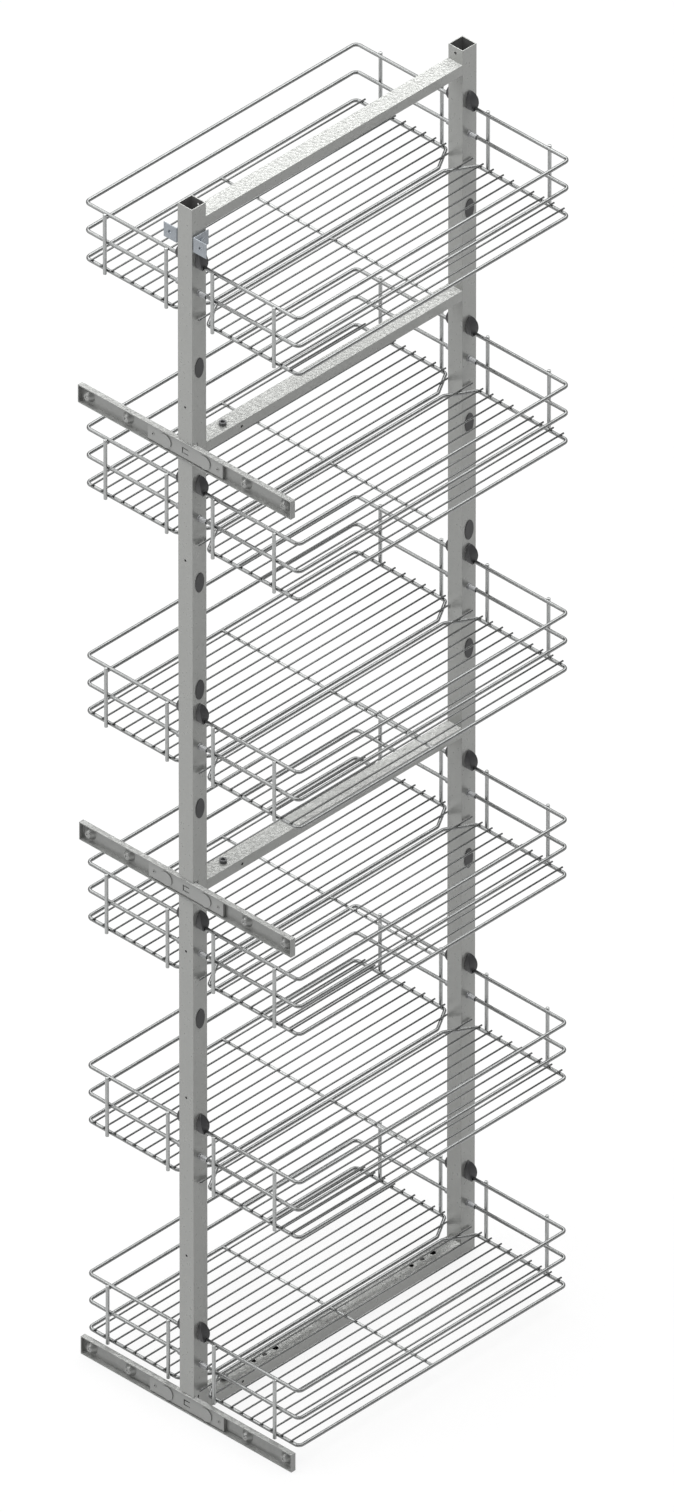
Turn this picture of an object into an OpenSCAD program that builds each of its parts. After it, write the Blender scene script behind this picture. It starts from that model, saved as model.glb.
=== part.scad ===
// Pull-out pantry frame: two square posts and four cross rails carry six tiers of hook-on wire
// half-baskets, and three adjustable front bars carry the cabinet's door.
// X is the width, Y the depth with the door at -Y, and Z is up from the underside of the bottom rail.

/* [Posts and rails] */
// Height of the two posts
frame_height = 1848; // [1660:1:2100]
// Depth over the outer faces of the two posts
frame_depth = 510; // [470:1:560]
// Side of the square post tube
post_width = 25; // [24:0.5:30]
// Wall of the posts
post_wall = 1.5; // [1.2:0.1:2]
// Height of the three cross rails
rail_height = 15; // [14:0.5:20]
// Height of the bottom rail
bottom_rail_height = 18; // [16:0.5:22]
// Wall of the rails
rail_wall = 1.5; // [1.2:0.1:2]
// Drop from the post tops to the top face of the top rail
top_rail_drop = 21; // [15:0.5:30]
// Rise of the upper rail's middle over tier 2's top rail
upper_rail_rise = 59.5; // [53:0.5:82]
// Rise of the lower rail's middle over tier 4's top rail
lower_rail_rise = 56; // [48:0.5:105]

/* [Holes in the frame] */
// Bore of the screw holes in the front face of the front post
front_hole_d = 3.5; // [2:0.1:5]
// Rise of the first front screw hole over the upper rail's middle
front_hole_1_rise = 67; // [43:0.5:200]
// Drop of the second front screw hole below tier 2's top rail
front_hole_2_drop = 106.5; // [18:0.5:250]
// Drop of the third front screw hole below tier 4's top rail
front_hole_3_drop = 39.5; // [2:0.5:72]
// Rise of the fourth front screw hole over tier 5's top rail
front_hole_4_rise = 48; // [21:0.5:120]
// Rise of the fifth front screw hole over tier 6's top rail
front_hole_5_rise = 126; // [0:0.5:280]
// Bore of the small holes in the facing walls near the post tops
guide_hole_d = 4; // [3:0.1:6]
// Distance of those holes below the post tops
guide_hole_drop = 8.5; // [6:0.5:12]
// Bore of the hole in the side of each lower rail
side_hole_d = 4; // [2:0.1:6]
// Distance of that hole behind the front post
side_hole_reach = 63.5; // [55:0.5:80]
// Bore of the large runner holes in the bottom rail
runner_hole_d = 8.5; // [6:0.1:11]
// Bore of the small runner holes in the bottom rail
runner_small_d = 6.5; // [4:0.1:9]
// Distance of the front large runner hole behind the front post
runner_front_reach = 135; // [120:0.5:150]
// Distance of the rear large runner hole before the rear post
runner_rear_reach = 38.5; // [20:0.5:60]
// Spacing of the three marks in each runner group
runner_step = 19.5; // [15:0.5:25]
// Depth of the dimple between the two holes of a group
dimple_depth = 0.6; // [0.2:0.1:1]

/* [Post openings] */
// Width of the oval openings in the post sides
slot_width = 13; // [12:0.5:18]
// Height of the oval openings
slot_height = 27; // [26:0.5:33]
// Rise of the first spare opening over tier 2's top rail
spare_1_rise = 186.5; // [173:0.5:202]
// Drop of the second spare opening below tier 2's top rail
spare_2_drop = 140; // [118:0.5:147]
// Rise of the third spare opening over tier 3's top rail
spare_3_rise = 44.5; // [41:0.5:70]
// Drop of the fourth spare opening below tier 3's top rail
spare_4_drop = 137; // [110:0.5:149]
// Drop of the fifth spare opening below tier 4's top rail
spare_5_drop = 143; // [113:0.5:162]

/* [Baskets] */
// Width over the outer wires of a left and a right half-basket
basket_width = 374; // [340:1:440]
// Diameter of the rail wire
wire_d = 5; // [4:0.1:6]
// Diameter of the thin floor wires
thin_wire_d = 2.5; // [2:0.1:3]
// Diameter of the cross wire under the floor
cross_wire_d = 4; // [3:0.1:4.5]
// Centre line radius of the rail corners
corner_radius = 7; // [6:0.5:25]
// Vertical spacing of the top rail, the mid rail and the floor
rail_spacing = 42; // [38:0.5:50]
// Number of thin floor wires in a half-basket
floor_wires = 10; // [6:1:12]
// Gap from the post's side to the first floor wire
first_wire_gap = 1.1; // [0.75:0.05:3]
// Distance of the last floor wire inside the outer wire
last_wire_inset = 12.1; // [8:0.1:16]
// Distance of the floor's inner wire from the middle plane
inner_wire_x = 4.6; // [4:0.1:6]
// Run of the floor's slanted corner along the width
slant_x = 23; // [20:0.5:30]
// Run of the floor's slanted corner along the depth
slant_y = 38; // [34:0.5:50]
// Distance of the inner uprights from the post's side
upright_reach = 27.5; // [22:0.5:40]
// Distance of the outer uprights inside the outer wire
upright_inset = 38; // [30:0.5:60]
// How far the uprights stand past the top rail
upright_rise = 2; // [1:0.5:5]
// How far the uprights hang below the floor wire
upright_drop = 4; // [3:0.5:8]
// How far the floor wires run past the end wires' middle
floor_overrun = 4.5; // [1:0.1:5]
// How deep crossing wires are welded into each other
weld_sink = 0.3; // [0.2:0.05:0.4]
// Drop from the post tops to tier 1's top rail
tier_1_drop = 88.5; // [86:0.5:108]
// How far tier 2 lies below an even spacing of the tiers
tier_2_low = 13.6; // [2:0.1:40]
// How far tier 3 lies below that spacing
tier_3_low = 33.2; // [31:0.1:52]
// How far tier 4 lies below that spacing
tier_4_low = 21.8; // [10:0.1:34]
// How far tier 5 lies below that spacing
tier_5_low = 6.4; // [0:0.1:25]
// Height of tier 6's top rail
tier_6_z = 117.5; // [117:0.5:130]

/* [Basket fittings] */
// Overlap of a clip on the post round its opening
clip_rim = 0.5; // [0.3:0.1:1]
// Overlap of a plug on the post round its opening
plug_rim = 1.3; // [0.5:0.1:1.5]
// How far a plug stands out of the post
plug_proud = 1; // [0.5:0.1:1]
// How far clips, plugs and sleeves reach in behind the post's wall
snap_depth = 1.5; // [1:0.1:2]
// Fit all round a clip or plug in its opening
slot_fit = 0.1; // [0.05:0.05:0.2]
// Height of a clip's middle above the top rail
clip_rise = 9; // [6:0.5:10]
// Reach of a clip's nose from the post
clip_reach = 10; // [9:0.5:14]
// Height of that nose above the top rail
clip_nose_rise = 4; // [2:0.5:6]
// Radius of a clip's rounded back
clip_curve = 26; // [22:0.5:32]
// Wall of a clip below the hole for the top rail
clip_foot = 1.5; // [1:0.1:2.5]
// Thickness of a clip's rim on the post
clip_lip = 1.2; // [0.8:0.1:2]
// Length of the top rail held in a clip
clip_grip = 6; // [4:0.5:8]
// Outer diameter of a sleeve
sleeve_d = 7; // [6.8:0.1:9]
// Length of a sleeve outside the post
sleeve_length = 13; // [10:0.5:18]
// Length of the mid rail held in a sleeve
sleeve_grip = 10; // [7:0.5:12]
// Diameter of the collar of a sleeve
collar_d = 9.2; // [8.5:0.1:12]
// Thickness of that collar
collar_t = 1.2; // [0.8:0.1:1.5]
// Slip between a rail's end and the clip or sleeve that holds it
hook_slip = 0.35; // [0.3:0.05:0.4]

/* [Front bars] */
// Length of a front bar
bar_length = 370; // [330:1:440]
// Height of a front bar
bar_height = 27; // [27:0.5:32]
// Depth of a front bar
bar_depth = 8; // [7.5:0.1:9]
// Sheet thickness of the bars and their plates
bar_sheet = 1.5; // [1.2:0.1:1.8]
// How far the bars stand out before the front post
bar_proud = 2; // [1.8:0.1:3]
// Clearance of the bottom bar above the underside of the frame
bottom_bar_lift = 0.5; // [0:0.5:3]
// Gap above and below a bar in the post's notch
notch_gap = 1.8; // [1.5:0.1:3]
// Room behind a bar's keeper in the post's notch
notch_room = 1.3; // [1:0.1:2]
// Distance of the outer door screws from the middle
outer_screw_x = 170.5; // [120:0.5:172]
// Distance of the inner door screws from the middle
inner_screw_x = 102.5; // [82:0.5:110]
// Bore of the door screw holes
door_hole_d = 4.5; // [3:0.1:5.5]
// Diameter of a door screw's boss at its top
boss_top_d = 9; // [8.5:0.1:11]
// Diameter of a door screw's boss at its base
boss_base_d = 18; // [15:0.5:20]
// How far a boss stays behind the bar's front edges
boss_set_back = 0.5; // [0.2:0.1:1]
// Length of the adjuster plate
plate_length = 130; // [115:1:138]
// Gap above and below the adjuster plate in its bar
plate_gap = 1.2; // [0.8:0.1:1.6]
// How far the plate lies behind the bar's front edges
plate_recess = 2; // [1.8:0.1:2.5]
// Diameter of the two round pads on the plate
pad_d = 20; // [14:0.5:20.5]
// Distance of the pads from the middle
pad_x = 34; // [26:0.5:38]
// How far the pads stand out of the plate
pad_rise = 1.4; // [0.8:0.1:1.6]
// Width of the lanced tab in the plate
tab_width = 11; // [8:0.5:14]
// Height of the lanced tab
tab_height = 9; // [7:0.5:12]
// Width of the cut round the tab
tab_cut = 1.7; // [0.8:0.1:2]
// Distance of the plate's eyelets from its ends
eyelet_inset = 9; // [6:0.5:10]
// Diameter of an eyelet
eyelet_d = 5; // [4:0.1:6]
// Bore of an eyelet
eyelet_bore = 2.4; // [1.6:0.1:3]
// How far an eyelet stands out of the plate
eyelet_rise = 0.5; // [0.3:0.1:0.8]
// Length of an arm inside its rail
arm_reach = 72; // [65:0.5:90]
// Slip of an arm in its rail and of a bar on its bracket
arm_slip = 0.4; // [0.3:0.05:0.5]
// Width of the keeper behind a bar
keeper_width = 46; // [44:0.5:60]
// Height of that keeper
keeper_height = 20; // [16:0.5:22]
// Thickness of that keeper
keeper_t = 1.5; // [1.2:0.1:1.8]
// Sideways travel of a bar each way
side_travel = 5; // [3:0.5:5]

/* [Screws and brackets] */
// Distance of the clamp screws behind the front post
clamp_reach = 42; // [36:0.5:50]
// Diameter of a clamp screw's shank
clamp_d = 6; // [5:0.5:8]
// Diameter of a clamp screw's head
clamp_head_d = 10; // [9:0.5:13]
// Height of a clamp screw's head
clamp_head_h = 4.5; // [3:0.5:6]
// Width of the hexagon socket across its corners
socket_d = 5.8; // [4:0.1:7]
// Depth of the hexagon socket
socket_depth = 2.5; // [1.5:0.1:2.8]
// Clearance round the screws in their holes
screw_fit = 0.05; // [0.02:0.01:0.1]
// Drop from the post tops to the top of the side brackets
bracket_drop = 40; // [34:0.5:42]
// Height of a side bracket
bracket_height = 22; // [18:0.5:22]
// Gap between a bracket and the post's side
bracket_gap = 2; // [1:0.1:3]
// Length of a bracket's flange along the post's side
bracket_side = 26.5; // [16:0.5:28]
// Length of a bracket's flange across the front
bracket_front = 22.5; // [20:0.5:32]
// Sheet thickness of a bracket
bracket_sheet = 1.5; // [1:0.1:2.5]
// Set-back of a bracket behind the post's front face
bracket_set_back = 0; // [0:0.5:3]
// Bore of the hole in a bracket's front flange
bracket_hole_d = 5; // [3:0.1:7]
// Diameter of the pressed nut behind that hole
bracket_nut_d = 9; // [8:0.1:11]
// Height of that nut
bracket_nut_h = 3; // [2:0.1:4]
// Diameter of a bracket screw's shank
bracket_screw_d = 4; // [3:0.1:5]
// Diameter of a bracket screw's head and of its spacer
bracket_head_d = 8; // [7:0.1:10]
// Height of a bracket screw's head
bracket_head_h = 2.2; // [1.5:0.1:3]

/* [Hidden] */
$fn = 48;
overcut = 1;
post_face = post_width / 2;
post_y = (frame_depth - post_width) / 2;
front_y = -frame_depth / 2;
rail_end = frame_depth / 2 - post_width;
post_bore = post_width - 2 * post_wall;
rail_bore = post_width - 2 * rail_wall;
bottom_rail_z = bottom_rail_height / 2;
top_rail_z = frame_height - top_rail_drop - rail_height / 2;
guide_hole_z = frame_height - guide_hole_drop;
tier_low = [0, tier_2_low, tier_3_low, tier_4_low, tier_5_low, 0];
tier_1_z = frame_height - tier_1_drop;
tier_step = (tier_1_z - tier_6_z) / (len(tier_low) - 1);
tier_z = [for (i = [0 : len(tier_low) - 1]) tier_1_z - i * tier_step - tier_low[i]];
upper_rail_z = tier_z[1] + upper_rail_rise;
lower_rail_z = tier_z[3] + lower_rail_rise;
spare_z = [
  tier_z[1] + spare_1_rise, tier_z[1] - spare_2_drop, tier_z[2] + spare_3_rise,
  tier_z[2] - spare_4_drop, tier_z[3] - spare_5_drop,
];
clip_z = [for (z = tier_z) z + clip_rise];
sleeve_z = [for (z = tier_z) z - rail_spacing];
bar_rail_z = [upper_rail_z, lower_rail_z, bottom_rail_z];
bar_z = [upper_rail_z, lower_rail_z, bottom_bar_lift + bar_height / 2];
bar_rail_h = [rail_height, rail_height, bottom_rail_height];
front_hole_z = [
  upper_rail_z + front_hole_1_rise, tier_z[1] - front_hole_2_drop, tier_z[3] - front_hole_3_drop,
  tier_z[4] + front_hole_4_rise, tier_z[5] + front_hole_5_rise,
];

wire_r = wire_d / 2;
thin_r = thin_wire_d / 2;
outer_x = basket_width / 2 - wire_r;
first_wire_x = post_face + first_wire_gap + thin_r;
floor_step = (outer_x - last_wire_inset - first_wire_x) / (floor_wires - 1);
weld_touch = 0.02;
floor_y = post_y - weld_sink + weld_touch;
upright_y = post_y + wire_d - weld_sink;
upright_x = [post_face + upright_reach, outer_x - upright_inset];
clip_end_x = post_face + clip_reach - clip_grip;
sleeve_end_x = post_face + sleeve_length - sleeve_grip;
hook_bore = wire_d + 2 * hook_slip;
bore_room = 1;
// The straight runs of a wire reach a little way into its bends, which swell by a hair
bend_lap = 0.4;
bend_swell = 0.1;

bar_front = front_y - bar_proud;
bar_back = bar_front + bar_depth;
web_front = bar_back - bar_sheet;
plate_front = bar_front + plate_recess;
plate_back = plate_front + bar_sheet;
keeper_front = bar_back + arm_slip;
notch_back = keeper_front + keeper_t + notch_room;
arm_width = min(post_bore, rail_bore) - 2 * arm_slip;
arm_height = rail_height - 2 * rail_wall - 2 * arm_slip;
arm_end = front_y + post_width + arm_reach;
boss_height = bar_depth - bar_sheet - boss_set_back;
clamp_y = front_y + post_width + clamp_reach;
bracket_top = frame_height - bracket_drop;
bracket_x = post_face + bracket_gap;
bracket_y = front_y + bracket_set_back;
bracket_mid_z = bracket_top - bracket_height / 2;
bracket_screw_y = bracket_y + (bracket_side + bracket_sheet) / 2;

steel = [0.62, 0.62, 0.61];
steel_dark = [0.52, 0.52, 0.51];
chrome = [0.78, 0.79, 0.8];
zinc = [0.68, 0.72, 0.77];
plastic = [0.24, 0.24, 0.25];
bolt_grey = [0.4, 0.41, 0.41];

// Helpers

// Children drawn for the right are mirrored when side is -1
module on_side(side) {
  if (side < 0) mirror([1, 0, 0]) children();
  else children();
}

// A box from its lowest corner to its highest
module box(low, high) {
  translate(low) cube(high - low);
}

// A round bar or bore along one axis, starting at a point
module along_x(from, length, d) {
  translate(from) rotate([0, 90, 0]) cylinder(d = d, h = length);
}

module along_y(from, length, d) {
  translate(from) rotate([-90, 0, 0]) cylinder(d = d, h = length);
}

module along_z(from, length, d) {
  translate(from) cylinder(d = d, h = length);
}

// An upright oval standing along X from a point
module oval_x(from, length, width, height) {
  translate(from) rotate([90, 0, 90]) linear_extrude(length) scale([1, height / width]) circle(d = width);
}

function unit(v) = v / norm(v);
function left_of(v) = [-v.y, v.x];
function turn(a, b) = atan2(a.x * b.y - a.y * b.x, a * b);
function way(points, i) = unit(points[(i + 1) % len(points)] - points[i]);
function before(points, i) = (i + len(points) - 1) % len(points);
function corner_turn(points, i) = turn(way(points, before(points, i)), way(points, i));
function corner_trim(points, i) = corner_radius * tan(corner_turn(points, i) / 2);

// A level wire through points that turn to the left, with a round bend at each corner
module bent_wire(points, z, closed) {
  last = len(points) - 1;
  for (i = [0 : closed ? last : last - 1]) {
    dir = way(points, i);
    after = (i + 1) % len(points);
    skip = closed || i > 0 ? corner_trim(points, i) - bend_lap : 0;
    stop = closed || i < last - 1 ? corner_trim(points, after) - bend_lap : 0;
    start = points[i] + dir * skip;
    translate([start.x, start.y, z])
      rotate([0, 0, atan2(dir.y, dir.x)])
        along_x([0, 0, 0], norm(points[after] - points[i]) - skip - stop, wire_d);
  }
  for (i = [closed ? 0 : 1 : closed ? last : last - 1]) {
    dir = way(points, before(points, i));
    centre = points[i] - dir * corner_trim(points, i) + left_of(dir) * corner_radius;
    translate([centre.x, centre.y, z])
      rotate([0, 0, atan2(-dir.x, dir.y)])
        rotate_extrude(angle = corner_turn(points, i))
          translate([corner_radius, 0]) circle(d = wire_d + bend_swell);
  }
}

// Posts and rails

// A post with its oval openings and sleeve holes through both sides
module post_tube(y) {
  through = post_width + 2 * overcut;
  difference() {
    box([-post_face, y - post_face, 0], [post_face, y + post_face, frame_height]);
    translate([-post_bore / 2, y - post_bore / 2, -overcut])
      cube([post_bore, post_bore, frame_height + 2 * overcut]);
    for (z = concat(clip_z, spare_z))
      oval_x([-post_face - overcut, y, z], through, slot_width, slot_height);
    for (z = sleeve_z)
      along_x([-post_face - overcut, y, z], through, sleeve_d + 2 * screw_fit);
  }
}

module front_post() {
  notch = [post_face + overcut, 0, bar_height / 2 + notch_gap];
  window = [arm_width / 2 + arm_slip, 0, arm_height / 2 + arm_slip];
  color(steel) difference() {
    post_tube(-post_y);
    for (i = [0 : len(bar_z) - 1]) {
      box([0, front_y - overcut, bar_z[i]] - notch, [0, notch_back, bar_z[i]] + notch);
      box([0, -post_y, bar_rail_z[i]] - window, [0, overcut - rail_end, bar_rail_z[i]] + window);
    }
    for (z = front_hole_z)
      along_y([0, front_y - overcut, z], post_wall + 2 * overcut, front_hole_d);
    along_y([0, -rail_end - post_wall - overcut, guide_hole_z], post_wall + 2 * overcut, guide_hole_d);
    for (side = [-1, 1]) on_side(side)
      along_x([0, bracket_screw_y, bracket_mid_z], post_face + overcut, bracket_screw_d + 2 * screw_fit);
  }
}

module rear_post() {
  color(steel) difference() {
    post_tube(post_y);
    along_y([0, rail_end - overcut, guide_hole_z], post_wall + 2 * overcut, guide_hole_d);
  }
}

// A rectangular tube between the posts
module rail_tube(z, height) {
  bore_z = height / 2 - rail_wall;
  difference() {
    box([-post_face, -rail_end, z - height / 2], [post_face, rail_end, z + height / 2]);
    box([-rail_bore / 2, -rail_end - overcut, z - bore_z],
      [rail_bore / 2, rail_end + overcut, z + bore_z]);
  }
}

// A rail that holds a front bar's arm under its clamp screw
module clamp_rail(z, height) {
  difference() {
    rail_tube(z, height);
    along_z([0, clamp_y, z], height, clamp_d + 2 * screw_fit);
    along_x([-post_face - overcut, side_hole_reach - rail_end, z], post_width + 2 * overcut, side_hole_d);
  }
}

module top_rail() {
  color(steel) rail_tube(top_rail_z, rail_height);
}

module upper_rail() {
  color(steel) clamp_rail(upper_rail_z, rail_height);
}

module lower_rail() {
  color(steel) clamp_rail(lower_rail_z, rail_height);
}

// The bottom rail stands on the runner: two groups of a small hole, a dimple and a large hole
module bottom_rail() {
  through = bottom_rail_height + 2 * overcut;
  dimple_z = bottom_rail_height - dimple_depth;
  color(steel_dark) difference() {
    clamp_rail(bottom_rail_z, bottom_rail_height);
    for (y = [runner_front_reach - rail_end, rail_end - runner_rear_reach]) {
      along_z([0, y, -overcut], through, runner_hole_d);
      along_z([0, y - runner_step, dimple_z], dimple_depth + overcut, runner_small_d);
      along_z([0, y - 2 * runner_step, -overcut], through, runner_small_d);
    }
  }
}

// Side brackets and screws

// An angle with a pressed nut behind the hole in its front flange
module side_bracket() {
  through = bracket_sheet + 2 * overcut;
  hole_x = bracket_x + (bracket_front + bracket_sheet) / 2;
  screw_hole_d = bracket_screw_d + 2 * screw_fit;
  difference() {
    union() {
      translate([bracket_x, bracket_y, bracket_top - bracket_height]) union() {
        cube([bracket_sheet, bracket_side, bracket_height]);
        cube([bracket_front, bracket_sheet, bracket_height]);
      }
      along_y([hole_x, bracket_y, bracket_mid_z], bracket_sheet + bracket_nut_h, bracket_nut_d);
    }
    along_y([hole_x, bracket_y - overcut, bracket_mid_z], through + bracket_nut_h, bracket_hole_d);
    along_x([bracket_x - overcut, bracket_screw_y, bracket_mid_z], through, screw_hole_d);
  }
}

module left_bracket() {
  color(zinc) on_side(-1) side_bracket();
}

module right_bracket() {
  color(zinc) on_side(1) side_bracket();
}

// A screw holds each bracket against a spacer on the post
module bracket_screws() {
  seat = bracket_x + bracket_sheet;
  shank = bracket_sheet + bracket_gap + post_wall + snap_depth;
  color(zinc) for (side = [-1, 1]) on_side(side) {
    along_x([seat, bracket_screw_y, bracket_mid_z], bracket_head_h, bracket_head_d);
    along_x([seat - shank, bracket_screw_y, bracket_mid_z], shank, bracket_screw_d);
    along_x([post_face, bracket_screw_y, bracket_mid_z], bracket_gap, bracket_head_d);
  }
}

// A clamp screw stands on its rail and stops just short of the arm under it
module clamp_screw(z, height) {
  seat = z + height / 2;
  tip = z + arm_height / 2 + arm_slip;
  difference() {
    union() {
      along_z([0, clamp_y, seat], clamp_head_h, clamp_head_d);
      along_z([0, clamp_y, tip], seat - tip, clamp_d);
    }
    translate([0, clamp_y, seat + clamp_head_h - socket_depth])
      cylinder(d = socket_d, h = socket_depth + overcut, $fn = 6);
  }
}

module clamp_screws() {
  color(bolt_grey) for (i = [0 : len(bar_rail_z) - 1]) clamp_screw(bar_rail_z[i], bar_rail_h[i]);
}

// Basket fittings

// The part of a clip or plug that sits in a post's oval opening
module slot_plug(y, z) {
  depth = post_wall + snap_depth;
  oval_x([post_face - depth, y, z], depth, slot_width - 2 * slot_fit, slot_height - 2 * slot_fit);
}

// A rounded fin on an oval rim, cut flat below, with a hole for the top rail's end
module clip(y, z) {
  width = slot_width + 2 * clip_rim;
  height = slot_height + 2 * clip_rim;
  tip = post_face + clip_reach;
  rail_z = z - clip_rise;
  foot_z = rail_z - hook_bore / 2 - clip_foot;
  bore_x = clip_end_x - bore_room;
  difference() {
    union() {
      slot_plug(y, z);
      intersection() {
        oval_x([post_face, y, z], clip_reach + overcut, width, height);
        union() {
          box([0, y - width, z - height], [post_face + clip_lip, y + width, z + height]);
          intersection() {
            along_y([tip - clip_curve, y - width, rail_z + clip_nose_rise], 2 * width, 2 * clip_curve);
            box([0, y - width, foot_z], [tip + overcut, y + width, z + height]);
          }
        }
      }
    }
    along_x([bore_x, y, rail_z], tip - bore_x + overcut, hook_bore);
  }
}

module clips(end, side) {
  color(plastic) on_side(side) for (z = clip_z) clip(end * post_y, z);
}

module plugs(end, side) {
  width = slot_width + 2 * plug_rim;
  height = slot_height + 2 * plug_rim;
  color(plastic) on_side(side) for (z = spare_z) {
    slot_plug(end * post_y, z);
    oval_x([post_face, end * post_y, z], plug_proud, width, height);
  }
}

// A collared tube that takes the mid rail's end
module sleeve(y, z) {
  root = post_face - post_wall - snap_depth;
  tip = post_face + sleeve_length;
  bore_x = sleeve_end_x - bore_room;
  difference() {
    union() {
      along_x([root, y, z], tip - root, sleeve_d);
      along_x([post_face, y, z], collar_t, collar_d);
    }
    along_x([bore_x, y, z], tip - bore_x + overcut, hook_bore);
  }
}

module sleeves(end, side) {
  color(zinc) on_side(side) for (z = sleeve_z) sleeve(end * post_y, z);
}

// Half-baskets

// A wire rail from the front post round the outside to the rear post
module rail_wire(end_x, z) {
  bent_wire([[end_x, -post_y], [outer_x, -post_y], [outer_x, post_y], [end_x, post_y]], z, false);
}

// Top rail, mid rail and the four uprights welded to their outside
module basket_rails(tier, side) {
  top = tier_z[tier];
  foot = top - 2 * rail_spacing - upright_drop;
  color(chrome) on_side(side) {
    rail_wire(clip_end_x, top);
    rail_wire(sleeve_end_x, top - rail_spacing);
    for (x = upright_x, end = [-1, 1])
      along_z([x, end * upright_y, foot], top + upright_rise - foot, wire_d);
  }
}

// Closed floor wire, the cross wire and the thin wires that lie on both
module basket_floor(tier, side) {
  z = tier_z[tier] - 2 * rail_spacing;
  cross_z = z + wire_r - (weld_sink + cross_wire_d) / 2;
  thin_z = z + wire_r + thin_r - weld_sink;
  reach = post_y + floor_overrun;
  slant = inner_wire_x + slant_x;
  color(chrome) on_side(side) {
    bent_wire([
      [slant, -floor_y], [outer_x, -floor_y], [outer_x, floor_y], [slant, floor_y],
      [inner_wire_x, floor_y - slant_y], [inner_wire_x, slant_y - floor_y],
    ], z, true);
    along_x([inner_wire_x, 0, cross_z], outer_x - inner_wire_x, cross_wire_d);
    for (i = [0 : floor_wires - 1])
      along_y([first_wire_x + i * floor_step, -reach, thin_z], 2 * reach, thin_wire_d);
  }
}

// Front bars

// A shallow tray open to the door, with four hollow bosses for the door's screws
module front_bar(i) {
  half = [bar_length / 2, 0, bar_height / 2];
  inside = half - [bar_sheet, 0, bar_sheet];
  opening = [arm_width / 2 + side_travel + arm_slip, 0, arm_height / 2 + arm_slip];
  screw_x = [for (x = [outer_screw_x, inner_screw_x], side = [-1, 1]) side * x];
  color(steel) difference() {
    union() {
      difference() {
        box([0, bar_front, bar_z[i]] - half, [0, bar_back, bar_z[i]] + half);
        box([0, bar_front - overcut, bar_z[i]] - inside, [0, web_front, bar_z[i]] + inside);
      }
      for (x = screw_x) translate([x, web_front, bar_z[i]]) rotate([90, 0, 0])
        cylinder(d1 = boss_base_d, d2 = boss_top_d, h = boss_height);
    }
    for (x = screw_x) {
      translate([x, bar_back, bar_z[i]]) rotate([90, 0, 0])
        cylinder(d1 = boss_base_d - bar_sheet, d2 = boss_top_d - bar_sheet, h = boss_height);
      along_y([x, bar_front - overcut, bar_z[i]], bar_depth, door_hole_d);
    }
    box([0, web_front - overcut, bar_rail_z[i]] - opening,
      [0, bar_back + overcut, bar_rail_z[i]] + opening);
  }
}

// The adjuster plate inside a bar: returned ends, two pads, a lanced tab and two eyelets
module bar_plate(i) {
  half = [plate_length / 2, 0, bar_height / 2 - bar_sheet - plate_gap];
  inside = half - [bar_sheet, 0, -overcut];
  tab = [tab_width / 2, 0, tab_height / 2];
  eyelet_depth = bar_sheet + eyelet_rise + 2 * overcut;
  eyelet_x = plate_length / 2 - eyelet_inset;
  color(steel) difference() {
    union() {
      difference() {
        box([0, plate_front, bar_z[i]] - half, [0, web_front - arm_slip, bar_z[i]] + half);
        box([0, plate_back, bar_z[i]] - inside, [0, web_front + overcut, bar_z[i]] + inside);
      }
      for (side = [-1, 1]) {
        along_y([side * pad_x, plate_front - pad_rise, bar_z[i]], pad_rise, pad_d);
        along_y([side * eyelet_x, plate_front - eyelet_rise, bar_z[i]], eyelet_rise, eyelet_d);
      }
    }
    for (side = [-1, 1])
      along_y([side * eyelet_x, plate_front - eyelet_rise - overcut, bar_z[i]], eyelet_depth, eyelet_bore);
    translate([0, 0, bar_z[i]]) {
      box([-tab.x, plate_front - overcut, -tab.z], [-tab.x + tab_cut, plate_back + overcut, tab.z]);
      box([-tab.x, plate_front - overcut, tab.z - tab_cut], [tab.x, plate_back + overcut, tab.z]);
      box([-tab.x, plate_front - overcut, -tab.z], [tab.x, plate_back + overcut, -tab.z + tab_cut]);
    }
  }
}

// The arm that carries a plate runs back into its rail, with a keeper behind the bar's web
module bar_arm(i) {
  half = [arm_width / 2, 0, arm_height / 2];
  keeper = [keeper_width / 2, 0, keeper_height / 2];
  color(steel_dark) union() {
    box([0, plate_back, bar_rail_z[i]] - half, [0, arm_end, bar_rail_z[i]] + half);
    box([0, keeper_front, bar_z[i]] - keeper, [0, keeper_front + keeper_t, bar_z[i]] + keeper);
  }
}

// Frame
front_post();
rear_post();
top_rail();
upper_rail();
lower_rail();
bottom_rail();
left_bracket();
right_bracket();
bracket_screws();
clamp_screws();

// Basket fittings, by post and side
clips(-1, -1);  // front_left_clips
clips(-1, 1);  // front_right_clips
clips(1, -1);  // rear_left_clips
clips(1, 1);  // rear_right_clips
sleeves(-1, -1);  // front_left_sleeves
sleeves(-1, 1);  // front_right_sleeves
sleeves(1, -1);  // rear_left_sleeves
sleeves(1, 1);  // rear_right_sleeves
plugs(-1, -1);  // front_left_plugs
plugs(-1, 1);  // front_right_plugs
plugs(1, -1);  // rear_left_plugs
plugs(1, 1);  // rear_right_plugs

// Front bars from the top down
front_bar(0);  // upper_bar
bar_plate(0);  // upper_bar_plate
bar_arm(0);  // upper_bar_arm
front_bar(1);  // lower_bar
bar_plate(1);  // lower_bar_plate
bar_arm(1);  // lower_bar_arm
front_bar(2);  // bottom_bar
bar_plate(2);  // bottom_bar_plate
bar_arm(2);  // bottom_bar_arm

// Half-baskets from the top tier down
for (tier = [0 : len(tier_z) - 1], side = [-1, 1]) {
  name = str("tier_", tier + 1, side < 0 ? "_left" : "_right");
  basket_rails(tier, side);
  basket_floor(tier, side);
}
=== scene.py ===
"""Looks of a pull-out pantry frame: plated finishes, wire baskets, eased edges and a studio."""
import math

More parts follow.
